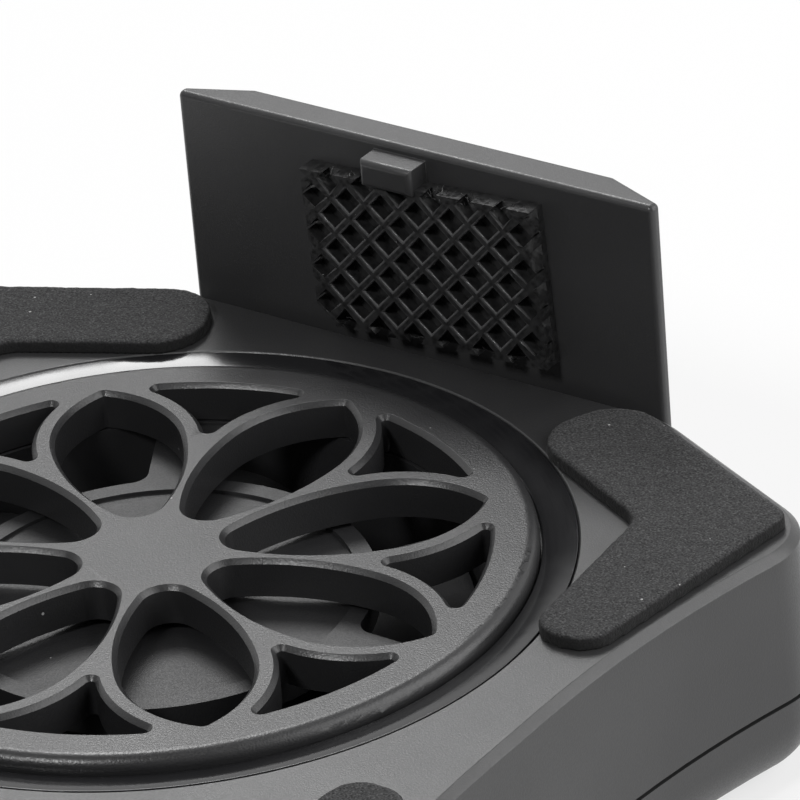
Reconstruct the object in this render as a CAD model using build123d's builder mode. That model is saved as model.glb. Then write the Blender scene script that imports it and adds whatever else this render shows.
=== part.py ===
from build123d import *
import os
from math import cos, radians, sin

os.makedirs("parts", exist_ok=True)

# A clip-on cooling fan for a phone: a waisted housing with a rosette grille, an axial fan inside and
# two sprung jaws. Lengths are millimetres. +Z points out of the face that meets the phone, the jaws
# slide along +Y (front) and -Y (rear), and the origin is the middle of the underside.

# Housing plan
housing_length = 68.6
end_width = 36.0
corner_width = 67.2
corner_setback = 7.3
waist_inset = 3.6
waist_length = 6.0
corner_radius = 5.0
end_corner_radius = 4.0
slant_overrun = 3.0

# Housing section
housing_height = 15.8
seam_height = 6.2
wall_draft = 0.6
side_wall = 1.8
top_wall = 2.0
floor_wall = 1.6
top_edge = 0.5
bottom_edge_margin = 0.2
inner_edge_margin = 1.2
seam_gap = 0.25
seam_depth = 0.6

# Air opening and rosette grille
fan_offset = 6.0
opening_radius = 20.0
air_hole_margin = 0.6
grille_rim_width = 2.9
grille_proud = 0.6
grille_thickness = 2.5
grille_edge_radius = 0.8
rib_edge = 0.3
petal_count = 8
petal_root_station = 5.1
petal_root_width = 2.6
petal_widest_station = 13.6
petal_width = 7.7
rib_width = 1.4
gap_start = 11.0
gap_corner_radius = 0.3
seat_depth = 1.2
seat_clearance = 0.1
trim_ring_width = 1.4
trim_ring_slope = 0.25

# Foam pads
foam_thickness = 0.9
foam_side_margin = 2.1
foam_corner_drop = 0.4
foam_arm_length = 17.8
foam_arm_width = 7.3
foam_arm_end_flat = 0.9
foam_corner_radius = 1.4
foam_bend_inset = (7.9, 4.5)
foam_bend_radius = 2.2
foam_leg_margin = 4.5
foam_leg_width = 4.4
foam_leg_length = 18.2
foam_leg_end_flat = 0.2

# Jaws and their slides
jaw_gap = 0.3
jaw_thickness = 2.5
jaw_inset = 0.4
jaw_taper = 4.3
jaw_side_thickness = 0.8
jaw_rise = 14.0
jaw_bottom = 1.0
jaw_edge_radius = 0.38
tab_width = 3.8
tab_depth = 1.8
tab_drop = 2.4
tab_thickness = 1.8
tab_edge_radius = 0.4
jaw_travel = 8.0
prong_inset = 0.6
prong_width = 3.0
prong_thickness = 2.3
prong_setback = 19.8
prong_lift = 0.2
lug_reach = 4.5
lug_thickness = 1.5
slide_clearance = 0.2
guide_wall = 1.2
guide_height = 2.6
guide_margin = 1.0
inner_guide_setback = 15.3

# Springs of the jaws
spring_radius = 1.4
spring_wall = 0.4
spring_offset = 3.1
spring_clearance = 0.1
spring_closed_length = 5.4
spring_seat_thickness = 1.2
spring_seat_width = 3.6

# Rubber pads on the jaws
grip_width = 16.6
grip_height = 10.9
grip_shift = 0.6
grip_lift = 0.5
grip_thickness = 1.4
grip_base = 0.5
grip_pitch = 1.77
grip_ridge = 0.55
grip_angle = 45
grip_corner_cut = 1.4

# Screws
case_screw_side_inset = 7.4
case_screw_end_inset = 11.8
case_boss_radius = 2.3
screw_shank_radius = 0.95
screw_head_radius = 1.8
screw_head_height = 1.1
screw_clearance = 0.1
case_screw_sink = 1.4
case_screw_reach = 9.4
screw_tip_gap = 0.4
board_screw_station = -5.0
board_screw_spacing = 14.0
board_screw_inset = 5.0
board_screw_reach = 3.4
board_boss_radius = 2.1

# Fan frame
duct_clearance = 0.5
duct_wall = 1.5
duct_height = 9.4
base_margin = 0.9
base_thickness = 1.7
base_drop = 0.2
base_step_width = 1.2
base_step_depth = 0.25
strut_width = 4.0
strut_count = 3
strut_root_radius = 1.2
ear_reach = 4.8
ear_angles = (30, 150, 210, 330)
ear_radius = 2.2
ear_thickness = 2.0
ear_screw_reach = 1.4
bearing_tube_radius = 3.2
bearing_tube_length = 5.4
pocket_skin = 0.5

# Bearing, shaft and clip
sleeve_radius = 2.4
sleeve_length = 5.7
press_clearance = 0.02
shaft_radius = 1.0
shaft_running_clearance = 0.03
shaft_end_gap = 0.2
clip_radius = 1.9
clip_thickness = 0.3
clip_gap = 0.05
clip_groove_radius = 0.7

# Impeller and rotor
hub_radius = 12.3
hub_wall = 0.9
hub_face = 0.9
hub_height = 6.8
hub_boss_radius = 2.2
hub_boss_gap = 0.2
hub_edge = 0.8
shaft_skin = 0.3
rotor_gap = 0.4
blade_tip_margin = 0.7
blade_count = 7
blade_root_chord = 8.2
blade_tip_chord = 9.4
blade_root_pitch = 46
blade_tip_pitch = 34
blade_camber = 1.1
blade_thickness = 0.8
blade_edge = 0.3
blade_root_overlap = 0.4
yoke_wall = 0.5
yoke_face = 0.4
yoke_height = 5.6
magnet_thickness = 1.0
magnet_height = 4.8
magnet_lift = 0.2

# Stator
air_gap = 0.4
stator_height = 2.8
stator_lift = 1.6
pole_count = 4
pole_width = 2.2
pole_tip_thickness = 1.2
pole_slot_width = 2.4
stator_hub_wall = 1.2
coil_thickness = 0.9
coil_clearance = 0.05
coil_margin = 0.4
fan_board_thickness = 0.5
fan_board_radius = 9.2

# Circuit board and what it carries
board_height = 6.8
board_thickness = 1.0
board_side_margin = 2.4
board_strip_width = 5.3
board_strip_front = 0.5
board_strip_bend = -9.0
board_inner_corner = -16.0
board_arm_end = 6.0
board_rear_margin = 5.5
board_arm_depth = 9.5
board_notch_width = 5.2
board_notch_depth = 8.1
board_corner_radius = 0.5
usb_station = -14.0
usb_width = 8.94
usb_height = 3.2
usb_length = 7.3
usb_wall = 0.3
usb_proud = 0.9
usb_clearance = 0.15
usb_tongue_width = 6.7
usb_tongue_thickness = 0.7
usb_tongue_length = 4.5
usb_tongue_base = 2.2
switch_width = 6.0
switch_height = 2.7
switch_depth = 3.5
plunger_gap = 0.05
plunger_width = 2.4
plunger_height = 1.4
plunger_length = 0.35
chip_size = 4.0
chip_height = 0.9
chip_station = -6.0
chip_inset = 3.6
capacitor_radius = 1.7
capacitor_height = 3.4
capacitor_station = -18.2
capacitor_inset = 2.2
inductor_size = 3.6
inductor_height = 1.8
inductor_station = -19.5
inductor_inset = 6.5
connector_width = 4.2
connector_depth = 3.2
connector_height = 2.6
connector_station = -4.0
connector_inset = 7.8

# Power button
button_station = -4.0
button_width = 6.6
button_height = 2.6
button_proud = 0.9
button_clearance = 0.2
button_edge = 0.25
flange_setback = 1.7
flange_thickness = 0.7
flange_margin = 0.7
button_travel = 0.5

# Air vents in the rear cover
vent_count = 14
vent_margin = 3.0
vent_length = 9.5
vent_width = 1.8
vent_tilt = 30

# Levels, radii and places that follow from the sizes above
corner_station = housing_length / 2 - corner_setback
waist_width = corner_width - 2 * waist_inset
bottom_edge_radius = end_corner_radius + wall_draft - bottom_edge_margin
inner_edge = end_corner_radius + wall_draft - side_wall - inner_edge_margin
foam_leg_end = corner_station - foam_leg_length
foam_leg_outer = corner_width / 2 - foam_leg_margin
foam_leg_inner = foam_leg_outer - foam_leg_width
foam_leg_end_radius = (foam_leg_width - foam_leg_end_flat) / 2
foam_arm_end_radius = (foam_arm_width - foam_arm_end_flat) / 2
jaw_width = end_width - 2 * jaw_inset
jaw_back_width = jaw_width - 2 * jaw_taper
jaw_top = housing_height + jaw_rise
tab_bottom = jaw_top - tab_drop
prong_inner_edge = end_width / 2 - prong_inset - prong_width
prong_end = housing_length / 2 - prong_setback
inner_guide_start_station = housing_length / 2 - inner_guide_setback
spring_place = prong_inner_edge + prong_width + spring_offset
grip_bottom = housing_height + grip_lift
blade_tip_radius = opening_radius - blade_tip_margin
base_radius = hub_radius + base_margin
base_step_radius = base_radius - base_step_width
usb_mouth = waist_width / 2 + usb_proud
button_face = waist_width / 2 + button_proud
flange_front = waist_width / 2 - flange_setback
vent_middle_radius = opening_radius - vent_margin - vent_length / 2
board_side = -waist_width / 2 + board_side_margin
board_rear = -housing_length / 2 + side_wall + board_rear_margin
ceiling_height = housing_height - top_wall
grille_top = housing_height + grille_proud
grille_ledge = housing_height - seat_depth
grille_radius = opening_radius + grille_rim_width
ring_inner_radius = grille_radius + seat_clearance
ring_outer_radius = ring_inner_radius + trim_ring_width
seat_radius = ring_outer_radius + seat_clearance
air_hole_radius = opening_radius + air_hole_margin
jaw_face = housing_length / 2 + jaw_gap
duct_inner_radius = blade_tip_radius + duct_clearance
duct_outer_radius = duct_inner_radius + duct_wall
duct_bottom = ceiling_height - duct_height
base_top = ceiling_height - base_drop
base_bottom = base_top - base_thickness
hub_top = base_bottom - rotor_gap
hub_bottom = hub_top - hub_height
hub_inner_radius = hub_radius - hub_wall
yoke_bottom = hub_bottom + hub_face
yoke_inner_radius = hub_inner_radius - yoke_wall
magnet_inner_radius = yoke_inner_radius - magnet_thickness
stator_radius = magnet_inner_radius - air_gap
stator_bottom = yoke_bottom + yoke_face + stator_lift
tube_bottom = base_bottom - bearing_tube_length
pocket_top = base_top - pocket_skin
sleeve_top = tube_bottom + sleeve_length
board_top = board_height + board_thickness
usb_centre_height = board_top + usb_height / 2
prong_bottom = floor_wall + prong_lift
spring_height = prong_bottom + spring_radius
grille_bottom = grille_top - grille_thickness
yoke_outer_radius = hub_inner_radius - press_clearance
strut_length = duct_inner_radius + duct_wall / 2
ear_bottom = ceiling_height - ear_thickness
shaft_bottom = hub_bottom + shaft_skin
shaft_top = pocket_top - shaft_end_gap
clip_bottom = sleeve_top + clip_gap
blade_centre_height = hub_bottom + hub_height / 2
pole_arm_length = stator_radius - pole_tip_thickness / 2
coil_inner_radius = bearing_tube_radius + stator_hub_wall + coil_margin
coil_outer_radius = stator_radius - pole_tip_thickness - coil_margin
coil_length = coil_outer_radius - coil_inner_radius
coil_place = (coil_inner_radius + coil_outer_radius) / 2
coil_outer_width = pole_width + 2 * coil_clearance + 2 * coil_thickness
coil_outer_height = stator_height + 2 * coil_clearance + 2 * coil_thickness
usb_inner_width = usb_width - 2 * usb_wall
usb_inner_height = usb_height - 2 * usb_wall
prong_place = prong_inner_edge + prong_width / 2
prong_centre_height = prong_bottom + prong_thickness / 2
lug_place = prong_inner_edge + prong_width + lug_reach / 2
spring_seat = prong_end + lug_thickness + jaw_travel + spring_closed_length + 2 * spring_clearance
spring_length = spring_seat - prong_end - lug_thickness - 2 * spring_clearance
guide_end = housing_length / 2 - side_wall
inner_guide_place = prong_inner_edge - slide_clearance - guide_wall / 2
outer_guide_place = prong_inner_edge + prong_width + slide_clearance + guide_wall / 2
inner_guide_length = guide_end - inner_guide_start_station
outer_guide_length = guide_end - prong_end - lug_thickness - jaw_travel - guide_margin
grip_pit_rows = round((grip_width + grip_height) / grip_pitch)
switch_front = flange_front - flange_thickness - button_travel - plunger_gap - plunger_length
fan_place = (0, fan_offset)
case_screw_places = [
    (across * (corner_width / 2 - case_screw_side_inset), along * (housing_length / 2 - case_screw_end_inset))
    for across in (-1, 1) for along in (-1, 1)
]
board_screw_places = [
    (board_screw_station + across * board_screw_spacing / 2, board_rear + board_screw_inset)
    for across in (-1, 1)
]
ear_circle_radius = duct_outer_radius + ear_reach
ear_places = [
    (ear_circle_radius * cos(radians(a)), fan_offset + ear_circle_radius * sin(radians(a)))
    for a in ear_angles
]
slant_end = Vector(end_width / 2, housing_length / 2)
slant = (slant_end - Vector(corner_width / 2, corner_station)).normalized()


def housing_plan(height, edge, end_wall):
    """Outline of the housing at a height, its sides moved out by edge and its ends in by end_wall."""
    with BuildSketch(Plane.XY.offset(height)) as plan:
        with BuildLine():
            waist = Line((waist_width / 2, 0), (waist_width / 2, waist_length / 2))
            flare = TangentArc(waist @ 1, (corner_width / 2, corner_station), tangent=waist % 1)
            slant_line = Line(flare @ 1, slant_end + slant * slant_overrun)
            Line(slant_line @ 1, (0, (slant_line @ 1).Y))
            mirror(about=Plane.YZ)
            mirror(about=Plane.XZ)
        make_face()
        fillet(plan.vertices().group_by(lambda v: abs(v.X))[-1], radius=corner_radius)
        if edge != 0:
            offset(amount=edge, kind=Kind.INTERSECTION)
        Rectangle(2 * corner_width, housing_length - 2 * end_wall, mode=Mode.INTERSECT)
        ends = plan.vertices().group_by(lambda v: abs(v.Y))[-1]
        fillet(ends.filter_by(lambda v: abs(v.X) > end_corner_radius), radius=end_corner_radius + edge)
    return plan.sketch


def petal_sketch(grow):
    """One petal along +X of the rosette, with its edge moved outwards by grow."""
    with BuildSketch(mode=Mode.PRIVATE) as petal:
        with BuildLine():
            widest = (petal_widest_station, petal_width / 2)
            root = (petal_root_station, petal_root_width / 2)
            TangentArc(widest, (opening_radius, 0), tangent=(1, 0))
            side = TangentArc(widest, root, tangent=(-1, 0))
            mirror(about=Plane.XZ)
            TangentArc(root, (root[0], -root[1]), tangent=side % 1)
        make_face()
        fillet(petal.vertices().sort_by(Axis.X)[-1], radius=gap_corner_radius)
        if grow != 0:
            offset(amount=grow, kind=Kind.INTERSECTION)
    return petal.sketch


def nearest_corner(sketch, place):
    """The corner of a sketch that lies nearest to a place in its plane."""
    return sketch.vertices().sort_by(lambda v: (Vector(v.X, v.Y) - place).length)[0]


def write(builder, name):
    """Label a finished piece and write its STEP file."""
    builder.part.label = name
    export_step(builder.part, "parts/" + name + ".step")


# Curved triangles between the rosette's petals
with BuildSketch() as rosette_gaps:
    Circle(opening_radius)
    with PolarLocations(0, petal_count):
        add(petal_sketch(rib_width), mode=Mode.SUBTRACT)
    Circle(gap_start, mode=Mode.SUBTRACT)
    by_distance = rosette_gaps.vertices().group_by(lambda v: Vector(v.X, v.Y).length)
    fillet(by_distance[0] + by_distance[-1], radius=gap_corner_radius)

# Hollow of the top shell, whose end walls stand upright
with BuildPart() as shell_hollow:
    add(housing_plan(seam_height, wall_draft - side_wall, side_wall))
    add(housing_plan(ceiling_height, -side_wall, side_wall))
    loft(ruled=True)

# Top shell with the grille's seat, screw bosses and the two side openings
with BuildPart() as top_shell:
    add(housing_plan(seam_height, wall_draft, 0))
    add(housing_plan(housing_height, 0, 0))
    loft(ruled=True)
    chamfer(top_shell.faces().sort_by(Axis.Z)[-1].edges(), length=top_edge)
    add(shell_hollow.part, mode=Mode.SUBTRACT)
    with Locations((0, fan_offset, housing_height)):
        CounterBoreHole(air_hole_radius, seat_radius, seat_depth)
    with BuildSketch(Plane.XY.offset(seam_height)):
        with Locations(case_screw_places):
            Circle(case_boss_radius)
    extrude(amount=ceiling_height - seam_height)
    with BuildSketch(Plane.XY.offset(board_top)):
        with Locations(board_screw_places):
            Circle(board_boss_radius)
    extrude(amount=ceiling_height - board_top)
    with BuildSketch(Plane.XY.offset(seam_height)):
        with Locations(case_screw_places):
            Circle(screw_shank_radius + screw_clearance)
    extrude(amount=case_screw_reach + screw_tip_gap - seam_height, mode=Mode.SUBTRACT)
    with BuildSketch(Plane.XY.offset(board_top)):
        with Locations(board_screw_places):
            Circle(screw_shank_radius + screw_clearance)
    extrude(amount=board_screw_reach + screw_tip_gap, mode=Mode.SUBTRACT)
    with BuildSketch(Plane.XY.offset(ceiling_height)):
        with Locations(ear_places):
            Circle(screw_shank_radius + screw_clearance)
    extrude(amount=ear_screw_reach + screw_clearance, mode=Mode.SUBTRACT)
    with BuildSketch(Plane.YZ.offset(-corner_width / 2 - wall_draft)):
        with Locations((usb_station, usb_centre_height)):
            SlotOverall(usb_width + 2 * usb_clearance, usb_height + 2 * usb_clearance)
        with Locations((button_station, usb_centre_height)):
            SlotOverall(button_width + 2 * button_clearance, button_height + 2 * button_clearance)
    extrude(amount=corner_width / 2 + wall_draft - duct_outer_radius, mode=Mode.SUBTRACT)
write(top_shell, "top_shell")

# Hollow of the rear cover, with a bevelled bottom
with BuildPart() as cover_hollow:
    add(housing_plan(floor_wall, wall_draft - side_wall, side_wall))
    extrude(amount=seam_height - floor_wall)
    chamfer(cover_hollow.faces().sort_by(Axis.Z)[0].edges(), length=inner_edge)

# Rear cover with the shadow gap at the seam, the slides' guides, the spring seats and the vents
with BuildPart() as rear_cover:
    add(housing_plan(0, wall_draft, 0))
    extrude(amount=seam_height - seam_gap)
    fillet(rear_cover.faces().sort_by(Axis.Z)[0].edges(), radius=bottom_edge_radius)
    add(housing_plan(seam_height - seam_gap, wall_draft - seam_depth, seam_depth))
    extrude(amount=seam_gap)
    add(cover_hollow.part, mode=Mode.SUBTRACT)
    with BuildSketch(Plane.XY.offset(floor_wall)):
        with Locations(case_screw_places):
            Circle(case_boss_radius)
    extrude(amount=seam_height - floor_wall)
    with BuildSketch(Plane.XY.offset(floor_wall)):
        for across in (-1, 1):
            for along in (-1, 1):
                with Locations((across * inner_guide_place, along * (guide_end - inner_guide_length / 2))):
                    Rectangle(guide_wall, inner_guide_length)
                with Locations((across * outer_guide_place, along * (guide_end - outer_guide_length / 2))):
                    Rectangle(guide_wall, outer_guide_length)
                with Locations((across * spring_place, along * (spring_seat + spring_seat_thickness / 2))):
                    Rectangle(spring_seat_width, spring_seat_thickness)
    extrude(amount=guide_height)
    with BuildSketch(Plane.XZ.offset(-housing_length)):
        with Locations((prong_place, prong_centre_height), (-prong_place, prong_centre_height)):
            Rectangle(prong_width + 2 * slide_clearance, prong_thickness + 2 * slide_clearance)
    extrude(amount=2 * housing_length, mode=Mode.SUBTRACT)
    with BuildSketch():
        with Locations(case_screw_places):
            Circle(screw_head_radius + screw_clearance)
    extrude(amount=case_screw_sink, mode=Mode.SUBTRACT)
    with BuildSketch():
        with Locations(case_screw_places):
            Circle(screw_shank_radius + screw_clearance)
    extrude(amount=seam_height, mode=Mode.SUBTRACT)
    with BuildSketch():
        with Locations(fan_place):
            with PolarLocations(vent_middle_radius, vent_count):
                Rectangle(vent_length, vent_width, rotation=vent_tilt)
    extrude(amount=floor_wall, mode=Mode.SUBTRACT)
write(rear_cover, "rear_cover")

# Rosette grille: eight pointed petals with a curved triangle between each two
with BuildPart() as front_grille:
    with BuildSketch(Plane.XY.offset(grille_ledge)):
        with Locations(fan_place):
            Circle(grille_radius)
    extrude(amount=grille_top - grille_ledge)
    fillet(front_grille.faces().sort_by(Axis.Z)[-1].edges(), radius=grille_edge_radius)
    with BuildSketch(Plane.XY.offset(grille_bottom)):
        with Locations(fan_place):
            Circle(air_hole_radius - seat_clearance)
    extrude(amount=grille_ledge - grille_bottom)
    with BuildSketch(Plane.XY.offset(grille_bottom)):
        with Locations(fan_place):
            add(rosette_gaps.sketch)
            with PolarLocations(0, petal_count):
                add(petal_sketch(0))
    extrude(amount=grille_thickness, mode=Mode.SUBTRACT)
    chamfer(front_grille.faces().sort_by(Axis.Z)[-1].inner_wires().edges(), length=rib_edge)
write(front_grille, "front_grille")

# Glossy trim ring round the grille, sloping outwards
with BuildPart() as trim_ring:
    with BuildSketch(Plane.XZ.offset(-fan_offset)):
        with BuildLine():
            Polyline(
                (ring_inner_radius, grille_ledge),
                (ring_outer_radius, grille_ledge),
                (ring_outer_radius, housing_height - trim_ring_slope),
                (ring_inner_radius, housing_height),
                close=True,
            )
        make_face()
    revolve(axis=Axis((0, fan_offset, 0), (0, 0, 1)))
write(trim_ring, "trim_ring")

# Foam pads, bent round the four corners
inward = Vector(-slant.Y, slant.X)
foam_corner = Vector(corner_width / 2 - foam_side_margin, corner_station - foam_corner_drop)
foam_arm_end = foam_corner + slant * foam_arm_length
foam_corners = (
    (foam_corner, foam_corner_radius),
    (foam_arm_end, foam_arm_end_radius),
    (foam_arm_end + inward * foam_arm_width, foam_arm_end_radius),
    (foam_corner - Vector(*foam_bend_inset), foam_bend_radius),
    (Vector(foam_leg_inner, foam_leg_end), foam_leg_end_radius),
    (Vector(foam_leg_outer, foam_leg_end), foam_leg_end_radius),
)
for end_name, along in (("front", 1), ("rear", -1)):
    for side_name, across in (("right", 1), ("left", -1)):
        with BuildPart() as foam_pad:
            with BuildSketch(Plane.XY.offset(housing_height)) as foam_plan:
                with BuildLine():
                    Polyline(*[(across * p.X, along * p.Y) for p, radius in foam_corners], close=True)
                make_face()
                for corner, radius in foam_corners:
                    place = Vector(across * corner.X, along * corner.Y)
                    fillet(nearest_corner(foam_plan, place), radius=radius)
            extrude(amount=foam_thickness)
        write(foam_pad, "foam_pad_" + end_name + "_" + side_name)

# Front jaw with its hooked tab, two slide prongs and spring lugs, before it is copied to both ends
with BuildPart() as jaw:
    with BuildSketch(Plane.XY.offset(jaw_bottom)):
        with BuildLine():
            Polyline(
                (jaw_width / 2, jaw_face),
                (jaw_width / 2, jaw_face + jaw_side_thickness),
                (jaw_back_width / 2, jaw_face + jaw_thickness),
                (-jaw_back_width / 2, jaw_face + jaw_thickness),
                (-jaw_width / 2, jaw_face + jaw_side_thickness),
                (-jaw_width / 2, jaw_face),
                close=True,
            )
        make_face()
    extrude(amount=jaw_top - jaw_bottom)
    fillet(jaw.edges(), radius=jaw_edge_radius)
    with BuildSketch(Plane.XZ.offset(-jaw_face)):
        with Locations((0, tab_bottom + tab_thickness / 2)):
            Rectangle(tab_width, tab_thickness)
    extrude(amount=tab_depth)
    tab_end = jaw.faces().filter_by(Axis.Y).sort_by(Axis.Y)[0]
    fillet(tab_end.edges(), radius=tab_edge_radius)
    with BuildSketch(Plane.XZ.offset(-jaw_face)):
        with Locations((prong_place, prong_centre_height), (-prong_place, prong_centre_height)):
            Rectangle(prong_width, prong_thickness)
    extrude(amount=jaw_face - prong_end)
    with BuildSketch(Plane.XZ.offset(-prong_end - lug_thickness)):
        with Locations((lug_place, prong_centre_height), (-lug_place, prong_centre_height)):
            Rectangle(lug_reach, prong_thickness)
    extrude(amount=lug_thickness)

# Ribbed rubber pad of the front jaw: a lattice of square pits on a base sheet
with BuildPart() as grip:
    with BuildSketch(Plane.XZ.offset(-jaw_face)) as grip_plan:
        with Locations((grip_shift, grip_bottom + grip_height / 2)):
            Rectangle(grip_width, grip_height)
        low_left = grip_plan.vertices().sort_by(lambda v: v.X + v.Y)[0]
        chamfer(low_left, length=grip_corner_cut)
    extrude(amount=grip_base)
    with BuildSketch(Plane.XZ.offset(-jaw_face + grip_base)):
        add(grip_plan.sketch_local)
        with Locations(Location((grip_shift, grip_bottom + grip_height / 2, 0), (0, 0, grip_angle))):
            with GridLocations(grip_pitch, grip_pitch, grip_pit_rows, grip_pit_rows):
                Rectangle(grip_pitch - grip_ridge, grip_pitch - grip_ridge, mode=Mode.SUBTRACT)
    extrude(amount=grip_thickness - grip_base)

# Coil spring of a jaw slide, drawn as its outer tube
with BuildPart() as spring:
    with BuildSketch(Plane.XZ.offset(-spring_seat + spring_clearance)):
        with Locations((spring_place, spring_height)):
            Circle(spring_radius)
            Circle(spring_radius - spring_wall, mode=Mode.SUBTRACT)
    extrude(amount=spring_length)

for end_name, turn in (("front", 0), ("rear", 180)):
    with BuildPart() as jaw_copy:
        add(jaw.part, rotation=(0, 0, turn))
    write(jaw_copy, end_name + "_jaw")
    with BuildPart() as grip_copy:
        add(grip.part, rotation=(0, 0, turn))
    write(grip_copy, end_name + "_jaw_pad")
    with BuildPart() as near_spring:
        add(spring.part, rotation=(0, 0, turn))
    write(near_spring, end_name + "_spring_a")
    with BuildPart() as far_spring:
        add(spring.part, rotation=(0, 0, turn))
        mirror(about=Plane.YZ, mode=Mode.REPLACE)
    write(far_spring, end_name + "_spring_b")

# Fan frame: duct, motor base on three struts, bearing tube and four fixing ears
with BuildPart() as fan_frame:
    with BuildSketch(Plane.XY.offset(duct_bottom)):
        with Locations(fan_place):
            Circle(duct_outer_radius)
            Circle(duct_inner_radius, mode=Mode.SUBTRACT)
    extrude(amount=duct_height)
    with BuildSketch(Plane.XY.offset(base_bottom)) as spider:
        with Locations(fan_place):
            Circle(base_radius)
            with PolarLocations(strut_length / 2, strut_count):
                Rectangle(strut_length, strut_width)
        roots = spider.vertices().sort_by(lambda v: (Vector(v.X, v.Y) - Vector(*fan_place)).length)
        fillet(roots[0:2 * strut_count], radius=strut_root_radius)
    extrude(amount=base_thickness)
    with BuildSketch(Plane.XY.offset(base_top - base_step_depth)):
        with Locations(fan_place):
            Circle(base_step_radius)
    extrude(amount=base_step_depth, mode=Mode.SUBTRACT)
    with BuildSketch(Plane.XY.offset(ceiling_height - ear_thickness)):
        with Locations(fan_place):
            for angle in ear_angles:
                with Locations(Location((0, 0, 0), (0, 0, angle))):
                    with Locations(((ear_circle_radius + duct_inner_radius) / 2, 0)):
                        Rectangle(ear_circle_radius - duct_inner_radius, 2 * ear_radius)
                    with Locations((ear_circle_radius, 0)):
                        Circle(ear_radius)
                        Circle(screw_shank_radius + screw_clearance, mode=Mode.SUBTRACT)
            Circle(duct_inner_radius, mode=Mode.SUBTRACT)
    extrude(amount=ear_thickness)
    with BuildSketch(Plane.XY.offset(tube_bottom)):
        with Locations(fan_place):
            Circle(bearing_tube_radius)
    extrude(amount=bearing_tube_length)
    with BuildSketch(Plane.XY.offset(tube_bottom)):
        with Locations(fan_place):
            Circle(sleeve_radius + press_clearance)
    extrude(amount=pocket_top - tube_bottom, mode=Mode.SUBTRACT)
write(fan_frame, "fan_frame")

# Sintered bearing sleeve
with BuildPart() as bearing_sleeve:
    with BuildSketch(Plane.XY.offset(tube_bottom)):
        with Locations(fan_place):
            Circle(sleeve_radius)
            Circle(shaft_radius + shaft_running_clearance, mode=Mode.SUBTRACT)
    extrude(amount=sleeve_length)
write(bearing_sleeve, "bearing_sleeve")

# Rotor shaft with the groove of its retaining clip
with BuildPart() as rotor_shaft:
    with BuildSketch(Plane.XY.offset(shaft_bottom)):
        with Locations(fan_place):
            Circle(shaft_radius)
    extrude(amount=shaft_top - shaft_bottom)
    with BuildSketch(Plane.XY.offset(clip_bottom - press_clearance)):
        with Locations(fan_place):
            Circle(shaft_radius)
            Circle(clip_groove_radius, mode=Mode.SUBTRACT)
    extrude(amount=clip_thickness + 2 * press_clearance, mode=Mode.SUBTRACT)
write(rotor_shaft, "rotor_shaft")

# Retaining clip, open on one side
with BuildPart() as shaft_clip:
    with BuildSketch(Plane.XY.offset(clip_bottom)):
        with Locations(fan_place):
            Circle(clip_radius)
            Circle(clip_groove_radius + press_clearance, mode=Mode.SUBTRACT)
            with Locations((clip_radius / 2, 0)):
                Rectangle(clip_radius, clip_groove_radius, mode=Mode.SUBTRACT)
    extrude(amount=clip_thickness)
write(shaft_clip, "shaft_clip")

# One fan blade: a cambered section that untwists from the hub to the tip
with BuildPart() as blade:
    for radius, chord, pitch in (
        (hub_radius - blade_root_overlap, blade_root_chord, blade_root_pitch),
        (blade_tip_radius + blade_root_overlap, blade_tip_chord, blade_tip_pitch),
    ):
        with BuildSketch(Plane((radius, 0, blade_centre_height), x_dir=(0, 1, 0), z_dir=(1, 0, 0))):
            with BuildLine(Plane.XY.rotated((0, 0, pitch))):
                top = blade_edge / 2
                ThreePointArc((-chord / 2, top), (0, blade_camber + blade_thickness / 2), (chord / 2, top))
                Line((chord / 2, top), (chord / 2, -top))
                ThreePointArc((chord / 2, -top), (0, blade_camber - blade_thickness / 2), (-chord / 2, -top))
                Line((-chord / 2, -top), (-chord / 2, top))
            make_face()
    loft(ruled=True)

# All blades, trimmed to the tip circle and the hub's height
with BuildPart() as blades:
    with Locations((0, fan_offset, 0)):
        with PolarLocations(0, blade_count):
            add(blade.part)
    with BuildSketch(Plane.XY.offset(hub_bottom)):
        with Locations(fan_place):
            Circle(blade_tip_radius)
    extrude(amount=hub_height, mode=Mode.INTERSECT)

# Impeller: a hub cup that carries the blades
with BuildPart() as impeller:
    with BuildSketch(Plane.XY.offset(hub_bottom)):
        with Locations(fan_place):
            Circle(hub_radius)
    extrude(amount=hub_height)
    chamfer(impeller.faces().sort_by(Axis.Z)[0].edges(), length=hub_edge)
    add(blades.part)
    with BuildSketch(Plane.XY.offset(yoke_bottom)):
        with Locations(fan_place):
            Circle(hub_inner_radius)
    extrude(amount=hub_top - yoke_bottom, mode=Mode.SUBTRACT)
    with BuildSketch(Plane.XY.offset(yoke_bottom)):
        with Locations(fan_place):
            Circle(hub_boss_radius)
    extrude(amount=tube_bottom - hub_boss_gap - yoke_bottom)
    with BuildSketch(Plane.XY.offset(shaft_bottom)):
        with Locations(fan_place):
            Circle(shaft_radius + press_clearance)
    extrude(amount=hub_top - shaft_bottom, mode=Mode.SUBTRACT)
write(impeller, "impeller")

# Steel yoke and ring magnet inside the hub
with BuildPart() as rotor_yoke:
    with BuildSketch(Plane.XY.offset(yoke_bottom)):
        with Locations(fan_place):
            Circle(yoke_outer_radius)
            Circle(hub_boss_radius + press_clearance, mode=Mode.SUBTRACT)
    extrude(amount=yoke_height)
    with BuildSketch(Plane.XY.offset(yoke_bottom + yoke_face)):
        with Locations(fan_place):
            Circle(yoke_inner_radius)
    extrude(amount=yoke_height - yoke_face, mode=Mode.SUBTRACT)
write(rotor_yoke, "rotor_yoke")

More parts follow.
